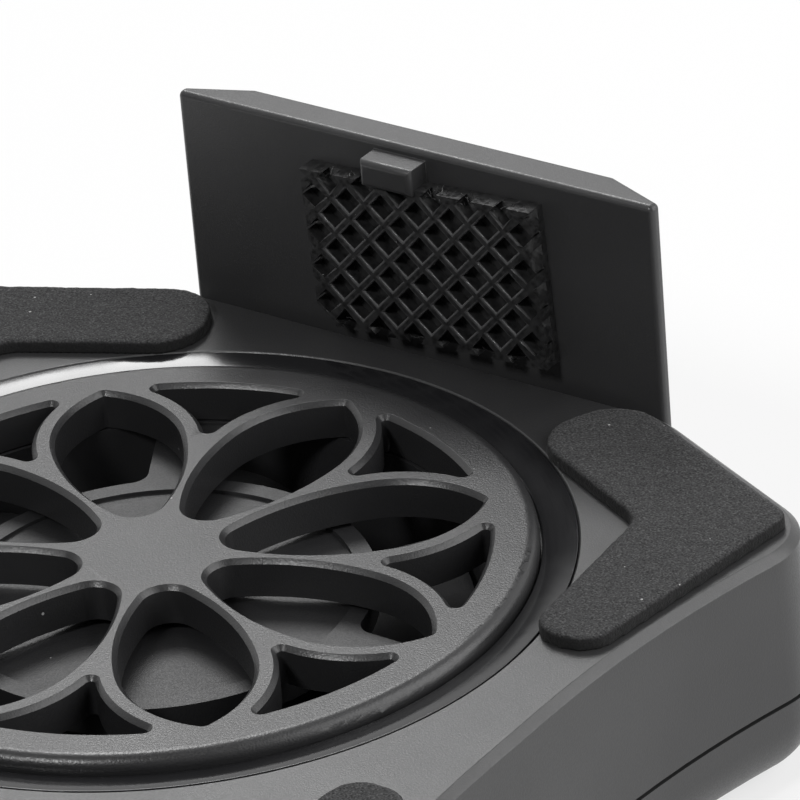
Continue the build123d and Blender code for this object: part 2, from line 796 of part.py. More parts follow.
with BuildPart() as rotor_magnet:
    with BuildSketch(Plane.XY.offset(yoke_bottom + yoke_face + magnet_lift)):
        with Locations(fan_place):
            Circle(yoke_inner_radius - press_clearance)
            Circle(magnet_inner_radius, mode=Mode.SUBTRACT)
    extrude(amount=magnet_height)
write(rotor_magnet, "rotor_magnet")

# Four-pole stator core on the bearing tube
with BuildPart() as stator_core:
    with BuildSketch(Plane.XY.offset(stator_bottom)):
        with Locations(fan_place):
            Circle(stator_radius)
            Circle(stator_radius - pole_tip_thickness, mode=Mode.SUBTRACT)
            with PolarLocations(stator_radius - pole_tip_thickness / 2, pole_count, 180 / pole_count):
                Rectangle(2 * pole_tip_thickness, pole_slot_width, mode=Mode.SUBTRACT)
            with PolarLocations(pole_arm_length / 2, pole_count):
                Rectangle(pole_arm_length, pole_width)
            Circle(bearing_tube_radius + stator_hub_wall)
            Circle(bearing_tube_radius + press_clearance, mode=Mode.SUBTRACT)
    extrude(amount=stator_height)
write(stator_core, "stator_core")

# Windings, one round each pole
with BuildPart() as stator_coils:
    with Locations((0, fan_offset, stator_bottom + stator_height / 2)):
        with PolarLocations(coil_place, pole_count):
            Box(coil_length, coil_outer_width, coil_outer_height)
        with PolarLocations(coil_place, pole_count):
            Box(
                coil_length,
                pole_width + 2 * coil_clearance,
                stator_height + 2 * coil_clearance,
                mode=Mode.SUBTRACT,
            )
    fillet(stator_coils.edges().filter_by(lambda e: e.length > coil_length - coil_clearance).filter_by(
        lambda e: abs(e.length - coil_length) < coil_clearance), radius=coil_clearance)
write(stator_coils, "stator_coils")

# Ring-shaped drive board between the stator and the motor base
with BuildPart() as fan_board:
    with BuildSketch(Plane.XY.offset(base_bottom - fan_board_thickness)):
        with Locations(fan_place):
            Circle(fan_board_radius)
            Circle(bearing_tube_radius + press_clearance, mode=Mode.SUBTRACT)
    extrude(amount=fan_board_thickness)
write(fan_board, "fan_board")

# Main board, which follows the duct and holds the socket, the switch and the lead's connector
with BuildPart() as main_board:
    with BuildSketch(Plane.XY.offset(board_height)) as board_plan:
        with BuildLine():
            Polyline(
                (board_side, board_strip_front),
                (board_side + board_strip_width, board_strip_front),
                (board_side + board_strip_width, board_strip_bend),
                (board_inner_corner, board_rear + board_arm_depth),
                (board_arm_end, board_rear + board_arm_depth),
                (board_arm_end, board_rear),
                (board_side + board_notch_width, board_rear),
                (board_side + board_notch_width, board_rear + board_notch_depth),
                (board_side, board_rear + board_notch_depth),
                close=True,
            )
        make_face()
        fillet(board_plan.vertices(), radius=board_corner_radius)
        with Locations(board_screw_places):
            Circle(screw_shank_radius + screw_clearance, mode=Mode.SUBTRACT)
    extrude(amount=board_thickness)
write(main_board, "main_board")

with BuildPart() as board_parts:
    with BuildSketch(Plane.XY.offset(board_top)):
        with Locations((chip_station, board_rear + chip_inset)):
            Rectangle(chip_size, chip_size)
    extrude(amount=chip_height)
    with BuildSketch(Plane.XY.offset(board_top)):
        with Locations((capacitor_station, board_rear + capacitor_inset)):
            Circle(capacitor_radius)
    extrude(amount=capacitor_height)
    with BuildSketch(Plane.XY.offset(board_top)):
        with Locations((inductor_station, board_rear + inductor_inset)):
            RectangleRounded(inductor_size, inductor_size, board_corner_radius)
    extrude(amount=inductor_height)
write(board_parts, "board_parts")

with BuildPart() as lead_connector:
    with BuildSketch(Plane.XY.offset(board_top)):
        with Locations((connector_station, board_rear + connector_inset)):
            Rectangle(connector_width, connector_depth)
    extrude(amount=connector_height)
write(lead_connector, "lead_connector")

# Power socket: metal shell and the moulded tongue inside it
with BuildPart() as usb_shell:
    with BuildSketch(Plane.YZ.offset(-usb_mouth)):
        with Locations((usb_station, usb_centre_height)):
            SlotOverall(usb_width, usb_height)
            SlotOverall(usb_width - 2 * usb_wall, usb_height - 2 * usb_wall, mode=Mode.SUBTRACT)
    extrude(amount=usb_length)
write(usb_shell, "usb_shell")

with BuildPart() as usb_tongue:
    with BuildSketch(Plane.YZ.offset(-usb_mouth + usb_length - usb_tongue_base)):
        with Locations((usb_station, usb_centre_height)):
            SlotOverall(usb_inner_width - 2 * press_clearance, usb_inner_height - 2 * press_clearance)
    extrude(amount=usb_tongue_base)
    with BuildSketch(Plane.YZ.offset(-usb_mouth + usb_length - usb_tongue_base - usb_tongue_length)):
        with Locations((usb_station, usb_centre_height)):
            Rectangle(usb_tongue_width, usb_tongue_thickness)
    extrude(amount=usb_tongue_length)
write(usb_tongue, "usb_tongue")

# Side-acting switch and its plunger
with BuildPart() as tact_switch:
    with BuildSketch(Plane.YZ.offset(-switch_front)):
        with Locations((button_station, board_top + switch_height / 2)):
            Rectangle(switch_width, switch_height)
    extrude(amount=switch_depth)
    with BuildSketch(Plane.YZ.offset(-switch_front - plunger_length)):
        with Locations((button_station, usb_centre_height)):
            Rectangle(plunger_width, plunger_height)
    extrude(amount=plunger_length)
write(tact_switch, "tact_switch")

# Power button with the flange that holds it behind the wall
with BuildPart() as power_button:
    with BuildSketch(Plane.YZ.offset(-button_face)):
        with Locations((button_station, usb_centre_height)):
            SlotOverall(button_width, button_height)
    extrude(amount=button_face - flange_front)
    chamfer(power_button.faces().sort_by(Axis.X)[0].edges(), length=button_edge)
    with BuildSketch(Plane.YZ.offset(-flange_front)):
        with Locations((button_station, usb_centre_height)):
            SlotOverall(button_width + 2 * flange_margin, button_height)
    extrude(amount=flange_thickness)
write(power_button, "power_button")

# Screws of the rear cover, of the fan frame's ears and of the board
for name, places, seat, tip in (
    ("case_screws", case_screw_places, case_screw_sink, case_screw_reach),
    ("fan_screws", ear_places, ear_bottom, ceiling_height + ear_screw_reach),
    ("board_screws", board_screw_places, board_height, board_top + board_screw_reach),
):
    with BuildPart() as screws:
        with BuildSketch(Plane.XY.offset(seat - screw_head_height)):
            with Locations(places):
                Circle(screw_head_radius)
        extrude(amount=screw_head_height)
        with BuildSketch(Plane.XY.offset(seat)):
            with Locations(places):
                Circle(screw_shank_radius)
        extrude(amount=tip - seat)
    write(screws, name)
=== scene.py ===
"""Looks of a clip-on phone cooling fan: finishes, soft edges, foam, ribbed rubber, studio."""

import itertools
import logging
import math
import random
from dataclasses import dataclass, field
from enum import Enum
from typing import Callable, Sequence

import bmesh
import bpy
from mathutils import Matrix, Vector, noise


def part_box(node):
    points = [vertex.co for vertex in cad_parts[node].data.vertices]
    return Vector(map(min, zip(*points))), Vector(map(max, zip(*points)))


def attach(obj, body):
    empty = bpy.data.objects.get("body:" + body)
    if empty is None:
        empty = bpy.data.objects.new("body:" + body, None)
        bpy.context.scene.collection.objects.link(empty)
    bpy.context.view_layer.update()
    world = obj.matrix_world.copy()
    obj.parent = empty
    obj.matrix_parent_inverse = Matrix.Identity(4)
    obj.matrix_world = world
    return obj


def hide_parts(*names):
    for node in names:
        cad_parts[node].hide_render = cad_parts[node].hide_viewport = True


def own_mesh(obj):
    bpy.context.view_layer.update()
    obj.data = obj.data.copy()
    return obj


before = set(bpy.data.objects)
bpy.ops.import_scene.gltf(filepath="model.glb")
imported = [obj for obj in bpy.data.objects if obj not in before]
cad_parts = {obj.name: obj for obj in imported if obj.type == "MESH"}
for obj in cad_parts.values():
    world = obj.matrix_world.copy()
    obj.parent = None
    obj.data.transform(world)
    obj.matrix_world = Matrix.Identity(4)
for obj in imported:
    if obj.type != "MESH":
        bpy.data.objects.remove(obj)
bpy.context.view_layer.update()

MM = 0.001

# How close vertices are to be one, and how flat neighbouring triangles are to be one face.
WELD = 0.0005 * MM
FLAT_ANGLE = 0.4
# How far a vertex may lie from a plane and still count as being on it.
TOUCH = 0.01 * MM

# Scales of the slow textures, in cells per metre.
TONE_SCALE = 90.0
SMUDGE_SCALE = 140.0
PATCH_SCALE = 900.0
TRACK_SCALE = 420.0

Object = bpy.types.Object
Socket = bpy.types.NodeSocket
Tree = bpy.types.NodeTree
Mesh = bmesh.types.BMesh
Triple = tuple[float, float, float]
DUST_COLOR: Triple = (0.3, 0.3, 0.3)
# Pale specks on the grip rubber: lint, and in part painted glints on its ridges.
LINT_AND_GLINT_COLOR: Triple = (0.35, 0.35, 0.35)
VARNISH_COLOR: Triple = (0.2, 0.08, 0.03)
FLOOR_COLOR: Triple = (0.82, 0.82, 0.82)
WHITE: Triple = (1.0, 1.0, 1.0)

log = logging.getLogger("cooler")


class Body(Enum):
    """The bodies of the cooler that pieces ride on."""

    HOUSING = "housing"
    FRONT = "front_clamp"
    REAR = "rear_clamp"
    ROTOR = "rotor"
    BUTTON = "button"


class Surface(Enum):
    """The finishes of the cooler, each named after its slot in the record."""

    SHELL = "shell_plastic"
    GRILLE = "grille_plastic"
    RING = "ring_plastic"
    FOAM = "foam"
    GRIP = "grip_rubber"
    FAN = "fan_plastic"
    STEEL = "steel"
    SCREW = "screw_steel"
    FERRITE = "ferrite"
    BRONZE = "bronze"
    COPPER = "copper"
    BOARD = "board"
    COMPONENT = "component_plastic"
    CONNECTOR = "connector_plastic"


@dataclass
class Graph:
    """A node tree that is filled from its inputs to its output.

    Attributes:
        tree: the node tree of a material, a world or a group.
    """

    tree: Tree

    def feed(self, socket: Socket, value: object) -> None:
        """Link a socket, or set its plain value.

        Args:
            socket: the input to feed.
            value: another node's output, or a number, colour or vector.
        """
        if isinstance(value, Socket):
            self.tree.links.new(value, socket)
        else:
            socket.default_value = value

    def add(self, kind: str, inputs: dict | None = None, **settings: object) -> bpy.types.Node:
        """Add a node.

        Args:
            kind: the node's type, without the ShaderNode that most types start with.
            inputs: values or outputs by input name or number.
            settings: properties of the node itself.

        Returns:
            The new node.
        """
        node = self.tree.nodes.new(kind if kind.startswith("NodeGroup") else "ShaderNode" + kind)
        for name, value in settings.items():
            setattr(node, name, value)
        for key, value in (inputs or {}).items():
            self.feed(node.inputs[key], value)
        return node

    def math(self, operation: str, *values: object) -> Socket:
        """Add a Math node.

        Args:
            operation: the node's operation.
            values: its inputs in order.

        Returns:
            The node's result.
        """
        return self.add("Math", dict(enumerate(values)), operation=operation).outputs[0]

    def span(self, value: object, start: float, end: float, low: float,
             high: float) -> Socket:
        """Map a value from one range to another, clamped.

        Args:
            value: the value to map.
            start: the value that gives low.
            end: the value that gives high.
            low: the first result.
            high: the last result.

        Returns:
            The mapped value.
        """
        inputs = {"Value": value, "From Min": start, "From Max": end, "To Min": low,
                  "To Max": high}
        return self.add("MapRange", inputs).outputs["Result"]

    def blend(self, share: object, first: object, second: object) -> Socket:
        """Mix two colours.

        Args:
            share: how much of the second shows.
            first: a colour or an output.
            second: a colour or an output.

        Returns:
            The mixed colour.
        """
        inputs = {0: share, 6: opaque(first), 7: opaque(second)}
        return self.add("Mix", inputs, data_type="RGBA").outputs[2]


def opaque(color: object) -> object:
    """A plain colour with its alpha, or an output as it is."""
    return (*color, 1.0) if isinstance(color, tuple) and len(color) == 3 else color


def new_group(name: str, inputs: dict[str, float], outputs: Sequence[str]) -> Graph:
    """Start a node group that has a Vector input and otherwise plain numbers.

    Args:
        name: the group's name.
        inputs: the default of each number that goes in.
        outputs: the names of the numbers that come out.

    Returns:
        The group's graph.
    """
    tree = bpy.data.node_groups.new(name, "ShaderNodeTree")
    sockets = tree.interface
    sockets.new_socket("Vector", in_out="INPUT", socket_type="NodeSocketVector")
    for label, default in inputs.items():
        socket = sockets.new_socket(label, in_out="INPUT", socket_type="NodeSocketFloat")
        socket.default_value = default
    for label in outputs:
        sockets.new_socket(label, in_out="OUTPUT", socket_type="NodeSocketFloat")
    return Graph(tree)


def build_grain() -> Tree:
    """The fine grain of a spark-eroded mould, and the slow change of tone across it.

    Returns:
        A group that puts out the grain's height, the tone and the pits, each from 0 to 1.
    """
    graph = new_group("moulded_grain", {"Size": 0.2 * MM}, ("Height", "Tone", "Pits"))
    given = graph.add("NodeGroupInput").outputs
    place = given["Vector"]
    scale = graph.math("DIVIDE", 1.0, given["Size"])
    fine = graph.add("TexNoise", {"Vector": place, "Scale": scale, "Detail": 3.0}).outputs[0]
    wide = graph.math("MULTIPLY", scale, 0.8)
    cells = graph.add("TexVoronoi", {"Vector": place, "Scale": wide, "Smoothness": 0.6},
                      feature="SMOOTH_F1")
    slow = graph.add("TexNoise", {"Vector": place, "Scale": TONE_SCALE, "Detail": 2.0}).outputs[0]
    pits = graph.span(cells.outputs["Distance"], 0.1, 0.6, 1.0, 0.0)
    height = graph.math("MULTIPLY_ADD", pits, -0.5, fine)
    graph.add("NodeGroupOutput", {"Height": height, "Tone": slow, "Pits": pits})
    return graph.tree


def build_specks() -> Tree:
    """Small scattered specks, such as dust or bright grains.

    Returns:
        A group that puts out a mask, 1 on a speck. Amount is the share of cells that hold one.
    """
    graph = new_group("scattered_specks", {"Spacing": MM, "Size": 0.1, "Amount": 0.1}, ("Mask",))
    given = graph.add("NodeGroupInput").outputs
    scale = graph.math("DIVIDE", 1.0, given["Spacing"])
    cells = graph.add("TexVoronoi", {"Vector": given["Vector"], "Scale": scale})
    chance = graph.add("SeparateColor", {0: cells.outputs["Color"]}).outputs
    reach = graph.math("MULTIPLY", given["Size"], chance[1])
    near = graph.math("LESS_THAN", cells.outputs["Distance"], reach)
    kept = graph.math("LESS_THAN", chance[0], given["Amount"])
    graph.add("NodeGroupOutput", {"Mask": graph.math("MULTIPLY", near, kept)})
    return graph.tree


def build_handling() -> Tree:
    """Smudges of handling, and the marked edges: rubbed wear, and painted glints on the grip's
    ridges.

    Returns:
        A group that puts out how smudged a place is and its edge mask for wear and painted
        glints, each from 0 to 1.
    """
    graph = new_group("handling", {"Rub": 0.5}, ("Smudge", "RubAndGlint"))
    given = graph.add("NodeGroupInput").outputs
    broad, patchy = (
        graph.add("TexNoise", {"Vector": given["Vector"], "Scale": scale, "Detail": detail})
        for scale, detail in ((SMUDGE_SCALE, 4.0), (PATCH_SCALE, 2.0)))
    worn = graph.add("Attribute", attribute_name="worn").outputs["Fac"]
    broken = graph.span(patchy.outputs[0], 0.35, 0.6, 0.35, 1.0)
    # The edge mask: rubbed wear on most finishes, painted glints on the grip rubber's ridges.
    rubbed = graph.math("MULTIPLY", graph.math("MULTIPLY", worn, broken), given["Rub"])
    smudge = graph.span(broad.outputs[0], 0.4, 0.62, 0.0, 1.0)
    graph.add("NodeGroupOutput", {"Smudge": smudge, "RubAndGlint": rubbed})
    return graph.tree


@dataclass(frozen=True)
class Effects:
    """The node groups that several finishes share.

    Attributes:
        grain: the mould's grain.
        specks: scattered specks.
        handling: smudges and rubbed edges.
    """

    grain: Tree = field(default_factory=build_grain)
    specks: Tree = field(default_factory=build_specks)
    handling: Tree = field(default_factory=build_handling)


class Shading(Graph):
    """A material under way, with its Principled shader and the piece's own coordinates."""

    def __init__(self, name: str, effects: Effects) -> None:
        """Start the material.

        Args:
            name: the material's name.
            effects: the shared node groups.
        """
        self.material = bpy.data.materials.new(name)
        self.material.use_nodes = True
        super().__init__(self.material.node_tree)
        self.effects = effects
        self.shader = self.tree.nodes["Principled BSDF"]
        self.place = self.add("TexCoord").outputs["Object"]

    def effect(self, tree: Tree, **inputs: object) -> bpy.types.NodeOutputs:
        """Place a shared effect on the piece's coordinates.

        Args:
            tree: the effect's node group.
            inputs: its values.

        Returns:
            The effect's outputs.
        """
        node = self.add("Group", node_tree=tree)
        for name, value in {"Vector": self.place, **inputs}.items():
            self.feed(node.inputs[name], value)
        return node.outputs

    def grain(self, size: float) -> bpy.types.NodeOutputs:
        """Place the grain, with its size in metres."""
        return self.effect(self.effects.grain, Size=size)

    def specks(self, spacing: float, size: float, amount: float) -> Socket:
        """Place specks.

        Args:
            spacing: the size of the cells that may each hold a speck, in metres.
            size: the largest speck as a share of a cell.
            amount: the share of the cells that hold one.

        Returns:
            A mask that is 1 on a speck.
        """
        return self.effect(self.effects.specks, Spacing=spacing, Size=size,
                           Amount=amount)["Mask"]

    def handling(self, rub: float) -> bpy.types.NodeOutputs:
        """Place the smudges and the edge mask for wear and painted glints, rub telling how strong
        it is.
        """
        return self.effect(self.effects.handling, Rub=rub)

    def relief(self, height: object, depth: float, strength: float = 1.0) -> None:
        """Feed the shader's normal from a height.

        Args:
            height: the height, from 0 to 1.
            depth: how deep a height of 1 is, in metres.
            strength: how strongly it shows.
        """
        inputs = {"Height": height, "Distance": depth, "Strength": strength}
        self.feed(self.shader.inputs["Normal"], self.add("Bump", inputs).outputs[0])

    def set(self, **inputs: object) -> None:
        """Set or link sockets of the shader, named with underscores for spaces."""
        for name, value in inputs.items():
            self.feed(self.shader.inputs[name.replace("_", " ")], opaque(value))


@dataclass(frozen=True)
class Finish:
    """What every finish has.

    Attributes:
        color: its main colour.
    """

    color: Triple

    def tint(self, share: float) -> Triple:
        """The main colour times a share, no brighter than white."""
        return tuple(min(1.0, share * c) for c in self.color)

    def dress(self, shade: Shading) -> None:
        """Set and link what the shader shows.

        Args:
            shade: the material under way.
        """
        raise NotImplementedError


@dataclass(frozen=True)
class Moulded(Finish):
    """Moulded plastic with the grain of its mould.

    Attributes:
        rubbed: the colour of its rubbed edges.
        roughness: how dull it is.
        grain: the grain's size, in metres.
        depth: the grain's depth, in metres.
        rub: how far the edges are rubbed.
        dust: the share of places that hold a dust speck.
    """

    rubbed: Triple
    roughness: float
    grain: float
    depth: float
    rub: float = 0.5
    dust: float = 0.05

    def dress(self, shade: Shading) -> None:
        """Vary the tone slowly and the dullness with the grain, then rub and dust it.

        Args:
            shade: the material under way.
        """
        grain = shade.grain(self.grain)
        hand = shade.handling(self.rub)
        specks = shade.specks(1.3 * MM, 0.075, self.dust)
        share = shade.span(grain["Tone"], 0.35, 0.65, 0.0, 1.0)
        tone = shade.blend(share, self.tint(0.8), self.color)
        edged = shade.blend(hand["RubAndGlint"], tone, self.rubbed)
        dull = shade.span(grain["Height"], 0.2, 0.7, self.roughness - 0.06, self.roughness + 0.08)
        worn = shade.math("MULTIPLY_ADD", hand["Smudge"], -0.05, dull)
        shade.set(Base_Color=shade.blend(specks, edged, DUST_COLOR), Roughness=worn)
        shade.relief(grain["Height"], self.depth)


@dataclass(frozen=True)
class Lacquered(Finish):
    """Glossy plastic with fine dust and faint smudges.

    Attributes:
        roughness: how dull it is.
    """

    roughness: float

    def dress(self, shade: Shading) -> None:
        """Rub, smudge and dust a smooth, faintly wavy face.

        Args:
            shade: the material under way.
        """
        hand = shade.handling(0.3)
        grain = shade.grain(1.6 * MM)
        specks = shade.specks(1.6 * MM, 0.05, 0.08)
        edged = shade.blend(hand["RubAndGlint"], self.color, self.tint(2.5))
        dull = shade.math("MULTIPLY_ADD", hand["Smudge"], 0.06, self.roughness)
        shade.set(Base_Color=shade.blend(specks, edged, DUST_COLOR), Roughness=dull)
        shade.relief(grain["Height"], 0.01 * MM, 0.35)


@dataclass(frozen=True)
class FoamCells(Finish):
    """Soft closed-cell foam with a crumbly skin and pale specks.

    Attributes:
        speck: the colour of its pale specks.
        cell: the size of its cells, in metres.
    """

    speck: Triple
    cell: float

    def dress(self, shade: Shading) -> None:
        """Darken the cells, paint shade on the side walls, and strew flecks and a few bright
        sparks.

        Args:
            shade: the material under way.
        """
        fine = shade.grain(self.cell)["Height"]
        coarse = shade.grain(2.6 * self.cell)["Height"]
        flecks = shade.grain(0.8 * self.cell)["Height"]
        sparks = shade.specks(0.9 * MM, 0.1, 0.4)
        body = shade.blend(shade.span(fine, 0.05, 0.45, 0.0, 1.0), self.tint(0.3), self.color)
        pale = shade.blend(shade.span(flecks, 0.4, 0.8, 0.0, 0.45), body, self.speck)
        bright = tuple(2.2 * c for c in self.speck)
        lit = shade.blend(shade.math("MULTIPLY", sparks, 0.9), pale, bright)
        # Painted shade: faces that turn away from upwards darken towards a fifth of the colour.
        normal = shade.add("NewGeometry").outputs["Normal"]
        facing = shade.add("SeparateXYZ", {0: normal}).outputs["Z"]
        painted_shade_sides = shade.blend(shade.span(facing, 0.5, 0.9, 0.9, 0.0), lit, self.tint(0.2))
        shade.set(Base_Color=painted_shade_sides, Roughness=0.95, Specular_IOR_Level=0.22, Sheen_Weight=0.04,
                  Sheen_Roughness=0.6)
        shade.relief(shade.math("MULTIPLY_ADD", coarse, 0.8, fine), 0.045 * MM, 0.8)


@dataclass(frozen=True)
class GripRubber(Finish):
    """Slightly shiny moulded rubber with pale specks in its pits: lint, and partly painted
    glints.

    Attributes:
        roughness: how dull it is.
    """

    roughness: float

    def dress(self, shade: Shading) -> None:
        """Darken the pits, paint glints on the ridges' edges and strew lint specks, partly
        painted glints.

        Args:
            shade: the material under way.
        """
        grain = shade.grain(0.3 * MM)
        # Pale specks: lint, and in part painted glints on the ridges.
        specks = shade.specks(0.5 * MM, 0.12, 0.2)
        hand = shade.handling(0.8)
        tone = shade.blend(grain["Pits"], self.color, self.tint(0.5))
        # Painted glints: the rounded ridge edges are lightened to 3.5 times the colour.
        edged = shade.blend(hand["RubAndGlint"], tone, self.tint(3.5))
        dull = shade.span(grain["Height"], 0.1, 0.7, self.roughness - 0.1, self.roughness + 0.15)
        shade.set(Base_Color=shade.blend(specks, edged, LINT_AND_GLINT_COLOR), Roughness=dull)
        shade.relief(grain["Height"], 0.03 * MM, 0.8)


@dataclass(frozen=True)
class Metal(Finish):
    """Bare or blackened metal with the fine lines of its making.

    Attributes:
        roughness: how dull it is.
        stretch: how much finer the lines are along each axis.
        metallic: 1 for bare metal, less under a coating.
    """

    roughness: float
    stretch: Triple = (1.0, 1.0, 1.0)
    metallic: float = 1.0

    def dress(self, shade: Shading) -> None:
        """Draw out the grain into lines, and brighten the rubbed edges.

        Args:
            shade: the material under way.
        """
        drawn = shade.add("Mapping", {"Vector": shade.place, "Scale": self.stretch})
        shade.place = drawn.outputs[0]
        height = shade.grain(0.25 * MM)["Height"]
        hand = shade.handling(0.6)
        tone = shade.blend(shade.span(height, 0.1, 0.7, 0.0, 1.0), self.tint(0.72), self.color)
        edged = shade.blend(hand["RubAndGlint"], tone, self.tint(1.5))
        dull = shade.math("MULTIPLY_ADD", height, 0.18, self.roughness - 0.06)
        shade.set(Base_Color=edged, Roughness=dull, Metallic=self.metallic)
        shade.relief(height, 0.008 * MM, 0.6)


@dataclass(frozen=True)
class SolderMask(Finish):
    """A circuit board's lacquer over its copper tracks.

    Attributes:
        track: the colour over copper.
    """

    track: Triple

    def dress(self, shade: Shading) -> None:
        """Raise and lighten the tracks.

        Args:
            shade: the material under way.
        """
        grain = shade.grain(0.4 * MM)
        cells = shade.add("TexVoronoi", {"Vector": shade.place, "Scale": TRACK_SCALE},
                          distance="CHEBYCHEV", feature="DISTANCE_TO_EDGE")
        tracks = shade.span(cells.outputs["Distance"], 0.06, 0.09, 1.0, 0.0)
        shade.set(Base_Color=shade.blend(tracks, self.color, self.track), Roughness=0.32)
        shade.relief(shade.math("MULTIPLY_ADD", grain["Height"], 0.1, tracks), 0.03 * MM, 0.7)


@dataclass(frozen=True)
class Wound(Finish):
    """Enamelled wire, wound in close layers.

    Attributes:
        wire: the wire's diameter, in metres.
    """

    wire: float

    def dress(self, shade: Shading) -> None:
        """Draw the layers of wire, stained with varnish.

        Args:
            shade: the material under way.
        """
        inputs = {"Vector": shade.place, "Scale": 0.16 / self.wire, "Distortion": 0.4}
        lines = shade.add("TexWave", inputs, bands_direction="Z").outputs["Fac"]
        stain = shade.math("MULTIPLY", shade.grain(0.5 * MM)["Pits"], 0.3)
        tone = shade.blend(lines, self.tint(0.35), self.color)
        shade.set(Base_Color=shade.blend(stain, tone, VARNISH_COLOR), Roughness=0.3, Metallic=0.9)
        shade.relief(lines, 0.05 * MM, 0.9)


FINISHES: dict[Surface, Finish] = {
    Surface.SHELL: Moulded((0.036, 0.036, 0.037), rubbed=(0.10, 0.10, 0.10), roughness=0.4,
                           grain=0.1 * MM, depth=0.006 * MM, rub=0.15, dust=0.02),
    Surface.GRILLE: Moulded((0.021, 0.021, 0.022), rubbed=(0.08, 0.08, 0.08), roughness=0.39,
                            grain=0.11 * MM, depth=0.009 * MM, rub=0.2, dust=0.06),
    Surface.RING: Lacquered((0.012, 0.012, 0.013), roughness=0.12),
    Surface.FOAM: FoamCells((0.036, 0.036, 0.037), speck=(0.2, 0.2, 0.2), cell=0.13 * MM),
    Surface.GRIP: GripRubber((0.02, 0.02, 0.0205), roughness=0.38),
    Surface.FAN: Moulded((0.015, 0.015, 0.016), rubbed=(0.04, 0.04, 0.04), roughness=0.52,
                         grain=0.1 * MM, depth=0.004 * MM, rub=0.2, dust=0.08),
    Surface.STEEL: Metal((0.55, 0.55, 0.56), roughness=0.28, stretch=(1.0, 1.0, 6.0)),
    Surface.SCREW: Metal((0.035, 0.035, 0.038), roughness=0.36, metallic=0.6),
    Surface.FERRITE: Metal((0.06, 0.06, 0.063), roughness=0.55, metallic=0.3),
    Surface.BRONZE: Metal((0.58, 0.42, 0.24), roughness=0.42),
    Surface.COPPER: Wound((0.62, 0.27, 0.11), wire=0.14 * MM),
    Surface.BOARD: SolderMask((0.006, 0.04, 0.02), track=(0.015, 0.1, 0.045)),
    Surface.COMPONENT: Moulded((0.02, 0.02, 0.021), rubbed=(0.06, 0.06, 0.06), roughness=0.45,
                               grain=0.12 * MM, depth=0.01 * MM),
    Surface.CONNECTOR: Moulded((0.72, 0.71, 0.66), rubbed=(0.8, 0.79, 0.75), roughness=0.42,
                               grain=0.2 * MM, depth=0.008 * MM),
}


def box_of(node: str) -> tuple[Vector, Vector]:
    """The lowest and the highest corner of a node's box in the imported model."""
    low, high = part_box(node)
    return Vector(low), Vector(high)


def merged(node: str) -> Mesh:
    """A copy of a node's mesh with its triangles joined and its flat faces whole.

    Args:
        node: the node's name.

    Returns:
        A new bmesh.
    """
    bm = bmesh.new()
    bm.from_mesh(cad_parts[node].data)
    bmesh.ops.remove_doubles(bm, verts=bm.verts, dist=WELD)
    bmesh.ops.dissolve_limit(bm, angle_limit=math.radians(FLAT_ANGLE), verts=bm.verts,
                             edges=bm.edges)
    return bm


def round_edges(bm: Mesh, radius: float, segments: int = 2, least: float = 28.0,
                chosen: Callable[[bmesh.types.BMEdge], bool] = lambda edge: True) -> None:
    """Round the sharp edges of a mesh and mark the new faces for edge wear and painted glints.

    Args:
        bm: the mesh.
        radius: the width of the rounding, in metres.
        segments: its steps.
        least: the least angle of an edge that is rounded, in degrees.
        chosen: tells which of those edges are rounded.
    """
    layers = bm.loops.layers.float
    # The worn mark is edge wear, and on the grip pad's ridges it places painted glints.
    worn = layers.get("worn") or layers.new("worn")
    sharp = [e for e in bm.edges
             if e.is_manifold and e.calc_face_angle() > math.radians(least) and chosen(e)]
    made = bmesh.ops.bevel(bm, geom=sharp, offset=radius, segments=segments, profile=0.5,
                           affect="EDGES", clamp_overlap=True, material=-1)
    for face in made["faces"]:
        for loop in face.loops:
            loop[worn] = 1.0


def circle(bm: Mesh, segments: int, radius: float,
           place: Matrix) -> list[bmesh.types.BMEdge]:
    """Add an open circle to a mesh.

    Args:
        bm: the mesh.
        segments: its sides.
        radius: its radius.
        place: where it lies, and its turn.

    Returns:
        Its edges.
    """
    made = bmesh.ops.create_circle(bm, cap_ends=False, segments=segments, radius=radius,
                                   matrix=place)
    return list({e for v in made["verts"] for e in v.link_edges})


def into_object(bm: Mesh, name: str, angle: float = 32.0) -> Object:
    """Write a mesh into a new object at the origin, smooth up to an angle.

    Args:
        bm: the mesh, which is freed.
        name: the object's name.
        angle: edges sharper than this stay sharp, in degrees.

    Returns:
        The object.
    """
    mesh = bpy.data.meshes.new(name)
    bm.to_mesh(mesh)
    bm.free()
    mesh.shade_smooth()
    mesh.set_sharp_from_angle(angle=math.radians(angle))
    obj = bpy.data.objects.new(name, mesh)
    bpy.context.scene.collection.objects.link(obj)
    return obj


def evened(bm: Mesh, name: str) -> Object:
    """Write a mesh into a new object whose flat faces keep even shading.

    Args:
        bm: the mesh, which is freed.
        name: the object's name.

    Returns:
        The object.
    """
    obj = into_object(bm, name)
    obj.modifiers.new("even", "WEIGHTED_NORMAL").keep_sharp = True
    return obj


